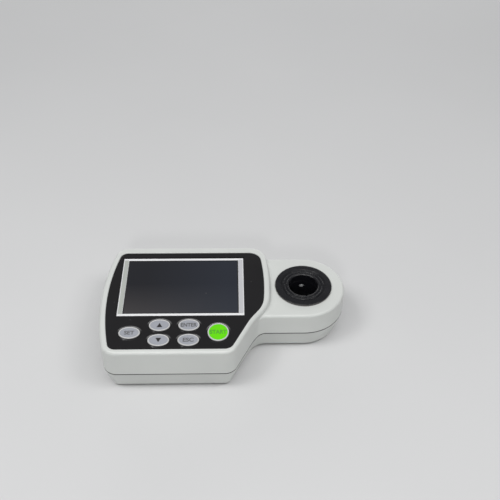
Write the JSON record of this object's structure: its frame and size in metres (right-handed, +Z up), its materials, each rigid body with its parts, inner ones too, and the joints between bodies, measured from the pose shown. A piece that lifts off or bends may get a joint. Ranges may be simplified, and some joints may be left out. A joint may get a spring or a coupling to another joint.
{
  "type": "refractometer",
  "caption": "Handheld optical refractometer: display head with a colour screen and six keys, joined to a round lobe with a sample-vial well under a black collar.",
  "frame": {"origin": "centre of the overall bounding box at the underside of the rubber feet", "axes": "+X along the longest side, from the display head towards the sample well; +Z up, out of the display; +Y away from the user"},
  "size_m": [0.2076, 0.1244, 0.0483],
  "materials": {
    "housing_grey": "fine satin moulded ABS, warm light grey",
    "fascia_black": "glossy near-black printed panel",
    "display_metal": "satin pressed metal",
    "display_glass": "dark polarised display glass",
    "display_white": "white light-guide tray",
    "steel": "zinc-plated pressed steel and screws",
    "key_silver": "pale silver-lacquered key rim",
    "key_grey": "satin grey key face",
    "key_green": "vivid green key",
    "collar_black": "satin black moulding",
    "board_green": "solder-mask green circuit board",
    "component_black": "moulded component bodies",
    "clear_window": "clear optical window",
    "rubber_black": "soft black rubber",
    "battery_wrap": "shrink-wrapped cell pack"
  },
  "bodies": {
    "instrument": {"battery_hatch": "housing_grey", "battery_pack": "battery_wrap", "board_parts": "component_black", "board_screws": "steel", "bracket_screws": "steel", "chamber_screws": "steel", "chamber_seal": "rubber_black", "collar_ring_nut": "collar_black", "detector_board": "board_green", "detector_holder": "component_black", "detector_lens": "clear_window", "display_backlight": "display_white", "display_bezel": "display_metal", "display_bracket": "steel", "display_gasket": "rubber_black", "display_panel": "display_glass", "fascia_panel": "fascia_black", "floor_window": "clear_window", "hatch_screw": "steel", "housing_screws": "steel", "key_switches": "component_black", "light_board": "board_green", "light_emitter": "clear_window", "light_holder": "component_black", "light_lens": "clear_window", "lower_shell": "housing_grey", "main_board": "board_green", "photodiode": "component_black", "rocker_frame": "component_black", "rubber_feet": "rubber_black", "sample_chamber": "collar_black", "upper_shell": "housing_grey", "usb_socket": "steel", "well_collar": "collar_black"},
    "set_key": {"key_set": "key_silver", "key_face_set": "key_grey", "plunger_set": "component_black"},
    "up_key": {"key_up": "key_silver", "key_face_up": "key_grey", "plunger_up": "component_black"},
    "down_key": {"key_down": "key_silver", "key_face_down": "key_grey", "plunger_down": "component_black"},
    "enter_key": {"key_enter": "key_silver", "key_face_enter": "key_grey", "plunger_enter": "component_black"},
    "esc_key": {"key_esc": "key_silver", "key_face_esc": "key_grey", "plunger_esc": "component_black"},
    "start_key": {"key_start": "key_silver", "key_face_start": "key_green", "plunger_start": "component_black"},
    "power_rocker": {"rocker_button": "component_black"}
  },
  "joints": [
    {"name": "set_key_press", "type": "slide", "parent": "instrument", "child": "set_key", "axis": [0, 0, -1], "range_m": [0, 0.0008], "stiffness_N_per_m": 600},
    {"name": "up_key_press", "type": "slide", "parent": "instrument", "child": "up_key", "axis": [0, 0, -1], "range_m": [0, 0.0008], "stiffness_N_per_m": 600},
    {"name": "down_key_press", "type": "slide", "parent": "instrument", "child": "down_key", "axis": [0, 0, -1], "range_m": [0, 0.0008], "stiffness_N_per_m": 600},
    {"name": "enter_key_press", "type": "slide", "parent": "instrument", "child": "enter_key", "axis": [0, 0, -1], "range_m": [0, 0.0008], "stiffness_N_per_m": 600},
    {"name": "esc_key_press", "type": "slide", "parent": "instrument", "child": "esc_key", "axis": [0, 0, -1], "range_m": [0, 0.0008], "stiffness_N_per_m": 600},
    {"name": "start_key_press", "type": "slide", "parent": "instrument", "child": "start_key", "axis": [0, 0, -1], "range_m": [0, 0.0008], "stiffness_N_per_m": 600},
    {"name": "power_rocker_tilt", "type": "hinge", "parent": "instrument", "child": "power_rocker", "pos_m": [-0.0658, 0.05805, 0.0295], "axis": [0, 0, 1], "range_deg": [-18, 0]}
  ]
}
